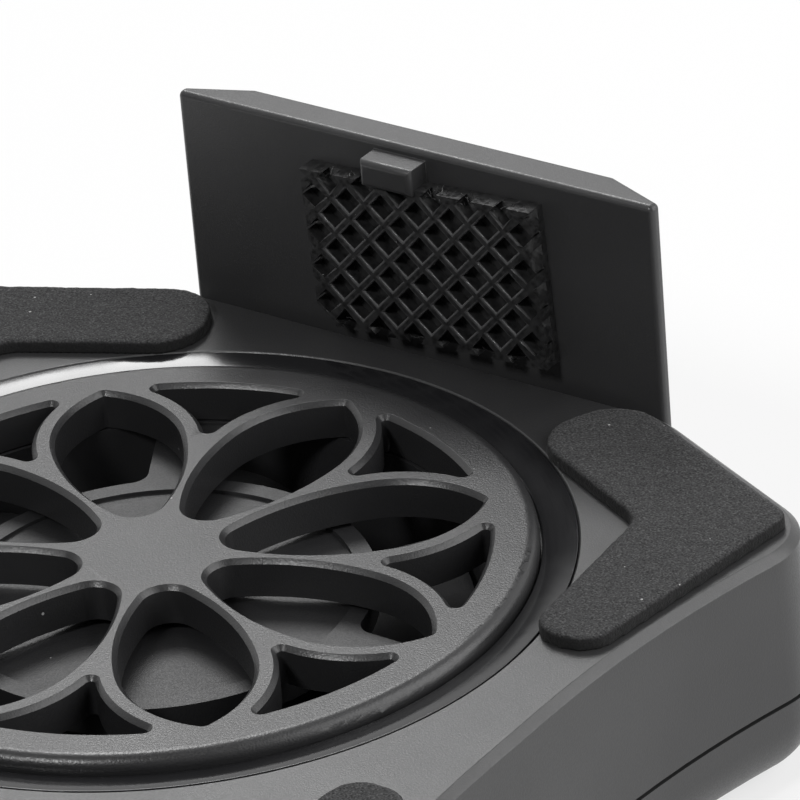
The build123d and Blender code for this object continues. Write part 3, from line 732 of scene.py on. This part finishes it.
@dataclass
class SubAssembly:
    """Pieces that belong together, with what they need to be dressed.

    Attributes:
        materials: the finished materials by surface.
    """

    materials: dict[Surface, bpy.types.Material]

    def paint(self, surface: Surface, *nodes: str) -> None:
        """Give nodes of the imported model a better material.

        Args:
            surface: the finish.
            nodes: the nodes' names.
        """
        for node in nodes:
            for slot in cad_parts[node].material_slots:
                slot.material = self.materials[surface]
            log.info("%s: painted as %s", node, surface.value)

    def place(self, obj: Object, surface: Surface, body: Body,
              *nodes: str) -> Object:
        """Dress a new piece, let it ride on a body and let it stand for nodes.

        Args:
            obj: the piece.
            surface: its finish.
            body: the body that it rides on.
            nodes: the nodes that it replaces.

        Returns:
            The piece.
        """
        obj.data.materials.append(self.materials[surface])
        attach(obj, body.value)
        if nodes:
            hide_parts(*nodes)
        log.info("%s: %d faces, rides on %s", obj.name, len(obj.data.polygons), body.value)
        return obj

    def soften(self, node: str, surface: Surface, body: Body, radius: float,
               segments: int = 2) -> Object:
        """Replace a moulded node by the same form with softly rounded edges.

        Args:
            node: the node's name.
            surface: its finish.
            body: the body that it rides on.
            radius: the rounding of its edges, in metres.
            segments: the rounding's steps.

        Returns:
            The piece.
        """
        bm = merged(node)
        round_edges(bm, radius, segments)
        return self.place(evened(bm, node + "_moulding"), surface, body, node)


@dataclass
class Housing(SubAssembly):
    """The two shells, the grille and the ring round it.

    Attributes:
        shell_round: the rounding of the shells' edges.
        grille_round: the rounding of the grille's chamfers.
        ring_round: the rounding of the ring.
        ring_dish: how far its face falls towards the grille.
        seat_flare: how much wider the ring and its seat are at the top than below.
        rim_band: how far from the ring's outer edge a vertex counts as the rim's.
        rim_depth: how far below the ring's top a vertex counts as the seat's rim.
    """

    shell_round: float = 0.12 * MM
    grille_round: float = 0.2 * MM
    ring_round: float = 0.12 * MM
    ring_dish: float = 0.4 * MM
    seat_flare: float = 0.8 * MM
    rim_band: float = 0.3 * MM
    rim_depth: float = 0.02 * MM

    def __post_init__(self) -> None:
        """Measure the ring."""
        low, high = box_of("trim_ring")
        self.middle = (low + high) / 2
        self.top = high.z
        self.reach = (high.x - low.x) / 2
        self.wider = 1.0 + self.seat_flare / self.reach

    def flared_shell(self) -> Object:
        """The top shell, with the seat of the ring flared towards the top.

        Returns:
            The top shell.
        """
        bm = merged("top_shell")
        rim = [v for v in bm.verts if v.co.z > self.top - self.rim_depth
               and abs((v.co - self.middle).xy.length - self.reach) < self.rim_band]
        bmesh.ops.scale(bm, verts=rim, vec=(self.wider, self.wider, 1.0),
                        space=Matrix.Translation(-self.middle))
        log.info("top_shell: %d vertices of the ring's seat flared", len(rim))
        round_edges(bm, self.shell_round)
        return evened(bm, "top_shell_moulding")

    def dished_ring(self) -> Object:
        """The glossy ring, whose face falls towards the grille.

        Returns:
            The ring.
        """
        bm = merged("trim_ring")
        upper = [v for v in bm.verts if v.co.z > self.middle.z]
        outer = [v for v in upper
                 if (v.co - self.middle).xy.length > self.reach - self.rim_band]
        inner = [v for v in upper if v not in outer]
        loops = ((outer, self.top, self.wider), (inner, self.top - self.ring_dish, 1.0))
        for verts, level, size in loops:
            lift = Matrix.Translation((self.middle.x, self.middle.y, level))
            flat = Matrix.Diagonal((size, size, 0.0, 1.0))
            bmesh.ops.transform(bm, matrix=lift @ flat @ Matrix.Translation(-self.middle),
                                verts=verts)
        round_edges(bm, self.ring_round, 3, 40.0)
        return into_object(bm, "trim_ring_moulding", 60.0)

    def build(self) -> None:
        """Make the housing's pieces."""
        self.place(self.flared_shell(), Surface.SHELL, Body.HOUSING, "top_shell")
        self.soften("rear_cover", Surface.SHELL, Body.HOUSING, self.shell_round)
        self.soften("front_grille", Surface.GRILLE, Body.HOUSING, self.grille_round, 3)
        self.place(self.dished_ring(), Surface.RING, Body.HOUSING, "trim_ring")


@dataclass
class FoamPads(SubAssembly):
    """The four bent foam pads of the phone bed.

    Attributes:
        voxel: the size of the surface's cells while it is remade.
        edge_round: the rounding of the cut upper edge.
        swell: how far the crumbly skin stands in or out.
        crumb: the size of its crumbs.
        fine: the size of its finer crumbs as a share of that.
        sink: how far the skin lies inwards, as a share of its swell.
    """

    voxel: float = 0.22 * MM
    edge_round: float = 0.3 * MM
    swell: float = 0.035 * MM
    crumb: float = 0.55 * MM
    fine: float = 0.45
    sink: float = 0.6

    def even_skin(self, node: str) -> Mesh:
        """One pad with its upper edge rounded, remeshed in even cells.

        Args:
            node: the pad's node.

        Returns:
            A new bmesh.
        """
        upper = box_of(node)[1].z - 10 * TOUCH
        bm = merged(node)
        round_edges(bm, self.edge_round, 3, 60.0,
                    lambda edge: min(v.co.z for v in edge.verts) > upper)
        bmesh.ops.triangulate(bm, faces=bm.faces)
        rough = into_object(bm, node + "_rough")
        remesh = rough.modifiers.new("even", "REMESH")
        remesh.mode = "VOXEL"
        remesh.voxel_size = self.voxel
        graph = bpy.context.evaluated_depsgraph_get()
        skin = bmesh.new()
        skin.from_mesh(rough.evaluated_get(graph).to_mesh())
        bpy.data.objects.remove(rough)
        return skin

    def crumbled(self, node: str) -> Object:
        """One pad, remeshed and roughened within its box.

        Args:
            node: the pad's node.

        Returns:
            The pad.
        """
        low, high = box_of(node)
        bm = self.even_skin(node)
        bm.normal_update()
        for vert in bm.verts:
            coarse = noise.noise(vert.co / self.crumb)
            crumbs = coarse + 0.6 * noise.noise(vert.co / (self.fine * self.crumb))
            if vert.co.z > low.z + self.voxel:
                vert.co += vert.normal * (crumbs - self.sink) * self.swell
        for vert in bm.verts:
            vert.co = Vector(min(max(c, a), b) for c, a, b in zip(vert.co, low, high))
        return into_object(bm, node + "_foam", 80.0)

    def build(self) -> None:
        """Make the four pads."""
        for end, side in itertools.product(("front", "rear"), ("right", "left")):
            node = f"foam_pad_{end}_{side}"
            pad = self.place(self.crumbled(node), Surface.FOAM, Body.HOUSING, node)


@dataclass
class Clamp(SubAssembly):
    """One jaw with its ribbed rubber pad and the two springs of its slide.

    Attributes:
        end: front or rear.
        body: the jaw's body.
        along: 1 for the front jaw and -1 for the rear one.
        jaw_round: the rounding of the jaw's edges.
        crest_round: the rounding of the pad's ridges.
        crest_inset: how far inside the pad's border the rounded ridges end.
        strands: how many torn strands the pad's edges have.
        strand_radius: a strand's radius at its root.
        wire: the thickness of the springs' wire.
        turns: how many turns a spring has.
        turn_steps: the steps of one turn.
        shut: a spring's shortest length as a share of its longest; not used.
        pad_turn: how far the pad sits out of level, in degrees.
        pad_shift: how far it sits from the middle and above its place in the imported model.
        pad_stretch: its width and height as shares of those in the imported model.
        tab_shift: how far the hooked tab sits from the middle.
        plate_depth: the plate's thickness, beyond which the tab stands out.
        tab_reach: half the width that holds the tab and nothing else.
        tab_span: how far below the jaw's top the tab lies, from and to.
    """

    end: str = "front"
    body: Body = Body.FRONT
    along: int = 1
    jaw_round: float = 0.1 * MM
    crest_round: float = 0.15 * MM
    crest_inset: float = 0.1 * MM
    strands: int = 110
    strand_radius: float = 0.035 * MM
    wire: float = 0.32 * MM
    turns: int = 9
    turn_steps: int = 16
    shut: float = 5.4 / 13.4
    pad_turn: float = 3.0
    pad_shift: tuple[float, float] = (0.73 * MM, 0.7 * MM)
    pad_stretch: tuple[float, float] = (1.03, 0.98)
    tab_shift: float = 0.75 * MM
    plate_depth: float = 2.6 * MM
    tab_reach: float = 2.2 * MM
    tab_span: tuple[float, float] = (0.45 * MM, 3.0 * MM)

    def strand(self, bm: Mesh, root: Vector, aim: Vector, length: float,
               rng: random.Random) -> None:
        """Add one thin torn strand of rubber.

        Args:
            bm: the mesh that it is added to.
            root: where it starts.
            aim: the direction that it leaves in.
            length: its length.
            rng: the seeded source of its bends.
        """
        steps, taper, bending = 3, 0.72, 0.5
        turn = aim.to_track_quat("Z", "Y").to_matrix().to_4x4()
        edges = circle(bm, 5, self.strand_radius, Matrix.Translation(root) @ turn)
        bmesh.ops.contextual_create(bm, geom=edges)
        for _ in range(steps):
            grown = bmesh.ops.extrude_edge_only(bm, edges=edges)["geom"]
            verts = [g for g in grown if isinstance(g, bmesh.types.BMVert)]
            edges = [g for g in grown if isinstance(g, bmesh.types.BMEdge)
                     and all(v in verts for v in g.verts)]
            bend = Vector([rng.uniform(-1, 1) for _ in range(3)]) * bending
            bmesh.ops.translate(bm, verts=verts, vec=(aim + bend).normalized() * (length / steps))
            centre = sum((v.co for v in verts), Vector()) / len(verts)
            bmesh.ops.scale(bm, verts=verts, vec=Vector((taper, taper, taper)),
                            space=Matrix.Translation(-centre))
        bmesh.ops.contextual_create(bm, geom=edges)

    def tear(self, bm: Mesh, low: Vector, high: Vector, crest: float) -> None:
        """Add the torn strands along the pad's top and bottom edges.

        Args:
            bm: the pad's mesh.
            low: the lowest corner of the pad's box before it was turned.
            high: the highest corner of that box.
            crest: where its ridges end, along Y.
        """
        lean = math.tan(math.radians(self.pad_turn)) * self.along
        middle = (low.x + high.x) / 2
        rng = random.Random(7 + self.along)
        for number in range(self.strands):
            on_top = number % 3 != 0
            across = rng.uniform(low.x + 0.4 * MM, high.x - 0.4 * MM)
            deep = crest + self.along * rng.uniform(0.1, 0.9) * MM
            height = (high.z - rng.uniform(0.3, 0.7) * MM if on_top
                      else low.z + rng.uniform(0.3, 0.6) * MM)
            height += lean * (across - middle)
            rise = rng.uniform(0.2, 1.0) if on_top else rng.uniform(-1.0, -0.1)
            aim = Vector((rng.uniform(-1.2, 1.2), 0.25 * self.along, rise)).normalized()
            length = rng.uniform(0.4, 1.0) * MM
            self.strand(bm, Vector((across, deep, height)), aim, length, rng)

    def pad(self) -> Object:
        """The ribbed pad with rounded ridges and torn strands, turned and moved to its place.

        Returns:
            The pad.
        """
        node = f"{self.end}_jaw_pad"
        low, high = box_of(node)
        middle = (low + high) / 2
        crest = low.y if self.along > 0 else high.y
        inset = self.crest_inset

        def on_crest(vert: bmesh.types.BMVert) -> bool:
            """Whether a vertex is on top of a ridge and inside the pad's border."""
            x, y, z = vert.co
            return (abs(y - crest) < TOUCH and low.x + inset < x < high.x - inset
                    and low.z + inset < z < high.z - inset)

        bm = merged(node)
        # The rounded ridge edges carry the grip finish's painted glints.
        round_edges(bm, self.crest_round, 3, 50.0, lambda edge: all(map(on_crest, edge.verts)))
        bmesh.ops.scale(bm, verts=bm.verts, vec=(self.pad_stretch[0], 1.0, self.pad_stretch[1]),
                        space=Matrix.Translation(-middle))
        bmesh.ops.rotate(bm, verts=bm.verts, cent=middle, matrix=Matrix.Rotation(
            math.radians(-self.pad_turn * self.along), 3, "Y"))
        shift = Vector((self.pad_shift[0] * self.along, 0.0, self.pad_shift[1]))
        bmesh.ops.translate(bm, verts=bm.verts, vec=shift)
        self.tear(bm, low + shift, high + shift, crest)
        bmesh.ops.recalc_face_normals(bm, faces=bm.faces)
        return evened(bm, node + "_ribbed")

    def spring(self, node: str) -> Object:
        """One coil spring, wound from end to end of its tube.

        Args:
            node: the spring's node.

        Returns:
            The spring.
        """
        low, high = box_of(node)
        middle = (low + high) / 2
        radius = (high.z - low.z) / 2 - self.wire / 2
        steps = self.turns * self.turn_steps
        start = Matrix.Translation((middle.x, low.y + self.wire, middle.z + radius))
        bm = bmesh.new()
        edges = circle(bm, 8, self.wire / 2, start @ Matrix.Rotation(math.radians(90), 4, "Y"))
        climb = (high.y - low.y - 2 * self.wire) / steps
        bmesh.ops.spin(bm, geom=edges, cent=(middle.x, low.y, middle.z), axis=(0, 1, 0),
                       dvec=(0, climb, 0), angle=math.radians(360 * self.turns), steps=steps)
        bmesh.ops.holes_fill(bm, edges=[e for e in bm.edges if e.is_boundary])
        bmesh.ops.recalc_face_normals(bm, faces=bm.faces)
        return into_object(bm, node + "_coil", 60.0)

    def plate(self) -> Object:
        """The jaw with its slide prongs, its hooked tab moved to its place off the middle.

        Returns:
            The jaw.
        """
        node = f"{self.end}_jaw"
        low, high = box_of(node)
        face = high.y - self.plate_depth if self.along > 0 else low.y + self.plate_depth
        upper, lower = (high.z - depth for depth in self.tab_span)
        bm = merged(node)
        tab = [v for v in bm.verts if (face - v.co.y) * self.along > -20 * TOUCH
               and abs(v.co.x) < self.tab_reach and lower < v.co.z < upper]
        bmesh.ops.translate(bm, verts=tab, vec=(-self.tab_shift * self.along, 0.0, 0.0))
        log.info("%s: %d vertices of the tab moved", node, len(tab))
        round_edges(bm, self.jaw_round)
        return evened(bm, node + "_moulding")

    def build(self) -> None:
        """Make the jaw, its pad and its springs."""
        self.place(self.plate(), Surface.SHELL, self.body, f"{self.end}_jaw")
        self.place(self.pad(), Surface.GRIP, self.body, f"{self.end}_jaw_pad")
        for letter in "ab":
            node = f"{self.end}_spring_{letter}"
            coil = self.place(self.spring(node), Surface.STEEL, Body.HOUSING, node)
            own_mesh(coil)


@dataclass
class FanUnit(SubAssembly):
    """The fan frame, the bladed wheel and the motor.

    Attributes:
        frame_round: the rounding of the frame's edges.
        blade_round: the rounding of the wheel's edges.
    """

    frame_round: float = 0.1 * MM
    blade_round: float = 0.07 * MM

    def build(self) -> None:
        """Make the fan's pieces."""
        self.soften("fan_frame", Surface.FAN, Body.HOUSING, self.frame_round)
        self.soften("impeller", Surface.FAN, Body.ROTOR, self.blade_round)
        self.paint(Surface.STEEL, "rotor_yoke", "rotor_shaft", "shaft_clip", "stator_core")
        self.paint(Surface.FERRITE, "rotor_magnet")
        self.paint(Surface.BRONZE, "bearing_sleeve")
        self.paint(Surface.COPPER, "stator_coils")
        self.paint(Surface.BOARD, "fan_board")


@dataclass
class Electronics(SubAssembly):
    """The main board, its parts, the power socket, the switch and the button.

    Attributes:
        small_round: the rounding of the socket's and the button's edges.
    """

    small_round: float = 0.05 * MM

    def build(self) -> None:
        """Make the electronic pieces."""
        self.paint(Surface.BOARD, "main_board")
        self.paint(Surface.COMPONENT, "board_parts", "usb_tongue", "tact_switch")
        self.paint(Surface.CONNECTOR, "lead_connector")
        self.soften("usb_shell", Surface.STEEL, Body.HOUSING, self.small_round)
        self.soften("power_button", Surface.SHELL, Body.BUTTON, self.small_round)


@dataclass
class Fasteners(SubAssembly):
    """The screws, with cross recesses in their heads.

    Attributes:
        head_round: the rounding of the heads' outer edges.
        recess: half the reach of the cross, in metres.
        slot: half the width of its arms.
        depth: its depth.
        taper: its size at the bottom as a share of that at the top.
    """

    head_round: float = 0.25 * MM
    recess: float = 1.05 * MM
    slot: float = 0.24 * MM
    depth: float = 0.6 * MM
    taper: float = 0.55

    def cutter(self, place: Vector, turn: float) -> Object:
        """A tapered bar that cuts one arm of a head's cross.

        Args:
            place: the middle of the head's outer face.
            turn: the arm's direction, in degrees.

        Returns:
            The cutter.
        """
        bm = bmesh.new()
        size = Matrix.Diagonal((2 * self.recess, 2 * self.slot, 2 * self.depth, 1))
        turned = Matrix.Rotation(math.radians(turn), 4, "Z")
        made = bmesh.ops.create_cube(bm, size=1.0,
                                     matrix=Matrix.Translation(place) @ turned @ size)["verts"]
        top = [v for v in made if v.co.z > place.z]
        bmesh.ops.scale(bm, verts=top, vec=Vector((self.taper, self.taper, 1.0)),
                        space=Matrix.Translation(-place))
        return into_object(bm, "recess")

    def crossed(self, node: str) -> Object:
        """The screws of one node with rounded heads and a cross cut into each.

        Args:
            node: the screws' node.

        Returns:
            The screws.
        """
        bottom = box_of(node)[0].z + TOUCH
        bm = merged(node)
        places = [f.calc_center_median() for f in bm.faces
                  if f.normal.z < -0.9 and f.calc_center_median().z < bottom]
        round_edges(bm, self.head_round, 3, 40.0,
                    lambda edge: max(v.co.z for v in edge.verts) < bottom)
        obj = into_object(bm, node + "_crossed")
        for place, turn in itertools.product(places, (0.0, 90.0)):
            tool = self.cutter(place, turn)
            cut = obj.modifiers.new("recess", "BOOLEAN")
            cut.object = tool
            cut.solver = "EXACT"
            graph = bpy.context.evaluated_depsgraph_get()
            mesh = bpy.data.meshes.new_from_object(obj.evaluated_get(graph))
            obj.modifiers.clear()
            obj.data = mesh
            bpy.data.objects.remove(tool)
        return obj

    def build(self) -> None:
        """Make the screws."""
        for node in ("case_screws", "fan_screws", "board_screws"):
            self.place(self.crossed(node), Surface.SCREW, Body.HOUSING, node)


def direction(azimuth: float, elevation: float) -> Vector:
    """The direction from the object at an azimuth and an elevation, both in degrees."""
    a, e = math.radians(azimuth), math.radians(elevation)
    return Vector((math.sin(a) * math.cos(e), -math.cos(a) * math.cos(e), math.sin(e)))


@dataclass(frozen=True)
class Lamp:
    """One soft round lamp that looks at the object.

    Attributes:
        name: its name.
        around: its direction round the object from the camera's, in degrees.
        height: its height above the horizon, in degrees.
        size: its width, in metres.
        power: its power, in watts.
        reach: its distance, in metres.
    """

    name: str
    around: float
    height: float
    size: float
    power: float
    reach: float = 0.7

    def build(self, azimuth: float) -> None:
        """Make the lamp.

        Args:
            azimuth: the camera's direction round the object, in degrees.
        """
        way = direction(azimuth + self.around, self.height)
        data = bpy.data.lights.new(self.name, "AREA")
        data.shape = "DISK"
        data.size = self.size
        data.energy = self.power
        obj = bpy.data.objects.new(self.name, data)
        turn = way.to_track_quat("Z", "Y").to_matrix().to_4x4()
        obj.matrix_world = Matrix.Translation(way * self.reach) @ turn
        obj.visible_camera = False
        bpy.context.scene.collection.objects.link(obj)


@dataclass(frozen=True)
class Studio:
    """The floor, the lights and the camera of the photograph's view.

    Attributes:
        azimuth: the camera's direction round the object, in degrees.
        elevation: its height, in degrees.
        roll: its tilt, in degrees.
        distance: its distance from the point that it looks at.
        target: that point.
        lens: its focal length on a sensor 36 mm wide.
        lamps: the key behind the jaw, a fill in front and a broad lamp at the side.
    """

    azimuth: float = 36.88
    elevation: float = 29.03
    roll: float = -4.81
    distance: float = 391.0 * MM
    target: Triple = (2.9 * MM, 27.7 * MM, 16.4 * MM)
    lens: float = 288.6
    lamps: tuple[Lamp, ...] = (
        Lamp("key", around=184.0, height=49.0, size=0.26, power=2.0),
        Lamp("fill", around=-40.0, height=48.0, size=0.16, power=2.2),
        Lamp("side", around=75.0, height=30.0, size=1.2, power=11.0, reach=1.0),
    )

    def axes(self) -> tuple[Vector, Vector, Vector]:
        """The camera's right, up and back directions."""
        r = math.radians(self.roll)
        back = direction(self.azimuth, self.elevation)
        right = direction(self.azimuth + 90.0, 0.0)
        up = back.cross(right)
        return (math.cos(r) * right + math.sin(r) * up,
                math.cos(r) * up - math.sin(r) * right, back)

    def camera(self) -> None:
        """Make the camera."""
        right, up, back = self.axes()
        data = bpy.data.cameras.new("camera")
        data.lens = self.lens
        data.sensor_width = 36.0
        data.clip_start = 10 * MM
        data.clip_end = 20.0
        obj = bpy.data.objects.new("camera", data)
        turn = Matrix((right, up, back)).transposed().to_4x4()
        obj.matrix_world = Matrix.Translation(Vector(self.target) + back * self.distance) @ turn
        bpy.context.scene.collection.objects.link(obj)
        bpy.context.scene.camera = obj

    def floor(self) -> None:
        """Make the pale floor, which camera and glossy rays see nearly white."""
        bm = bmesh.new()
        bmesh.ops.create_grid(bm, x_segments=1, y_segments=1, size=3.0)
        obj = into_object(bm, "floor")
        material = bpy.data.materials.new("floor")
        material.use_nodes = True
        graph = Graph(material.node_tree)
        graph.tree.nodes.clear()
        path = graph.add("LightPath").outputs
        indirect = graph.math("MAXIMUM", path["Is Glossy Ray"], path["Is Transmission Ray"])
        seen = graph.math("MAXIMUM", path["Is Camera Ray"], indirect)
        matt = graph.add("BsdfDiffuse", {"Color": opaque(FLOOR_COLOR)}).outputs[0]
        white = graph.add("Emission", {"Color": opaque(WHITE), "Strength": 1.0}).outputs[0]
        share = graph.math("MULTIPLY", seen, 0.7)
        mixed = graph.add("MixShader", {0: share, 1: matt, 2: white}).outputs[0]
        graph.add("OutputMaterial", {"Surface": mixed})
        obj.data.materials.append(material)

    def sky(self) -> None:
        """Make the world: white where it is seen, dimmer in reflections on the camera's side."""
        world = bpy.data.worlds.new("studio")
        world.use_nodes = True
        bpy.context.scene.world = world
        graph = Graph(world.node_tree)
        graph.tree.nodes.clear()
        path = graph.add("LightPath").outputs
        aim = graph.add("TexCoord").outputs["Generated"]
        away = tuple(direction(self.azimuth + 180.0, 0.0))
        along = graph.add("VectorMath", {0: aim, 1: away}, operation="DOT_PRODUCT")
        gloss = graph.span(along.outputs["Value"], -0.3, 0.6, 0.22, 1.0)
        seen = graph.math("MAXIMUM", path["Is Camera Ray"], path["Is Transmission Ray"])
        glossy = graph.math("MULTIPLY", path["Is Glossy Ray"], gloss)
        shown = graph.math("MAXIMUM", seen, glossy)
        level = graph.math("MAXIMUM", shown, graph.math("MULTIPLY", gloss, 0.3))
        back = graph.add("Background", {"Color": opaque(WHITE), "Strength": level}).outputs[0]
        graph.add("OutputWorld", {"Surface": back})

    def build(self) -> None:
        """Make the studio."""
        self.camera()
        self.floor()
        self.sky()
        for lamp in self.lamps:
            lamp.build(self.azimuth)
        bpy.context.scene.view_settings.view_transform = "Standard"


def main() -> None:
    """Build the studio and every sub-assembly, in order."""
    logging.basicConfig(level=logging.INFO, format="%(name)s: %(message)s")
    Studio().build()
    effects = Effects()
    materials = {}
    for surface, finish in FINISHES.items():
        shade = Shading(surface.value, effects)
        finish.dress(shade)
        materials[surface] = shade.material
    Housing(materials).build()
    FoamPads(materials).build()
    Clamp(materials).build()
    Clamp(materials, end="rear", body=Body.REAR, along=-1).build()
    FanUnit(materials).build()
    Electronics(materials).build()
    Fasteners(materials).build()


if __name__ == "__main__":
    main()
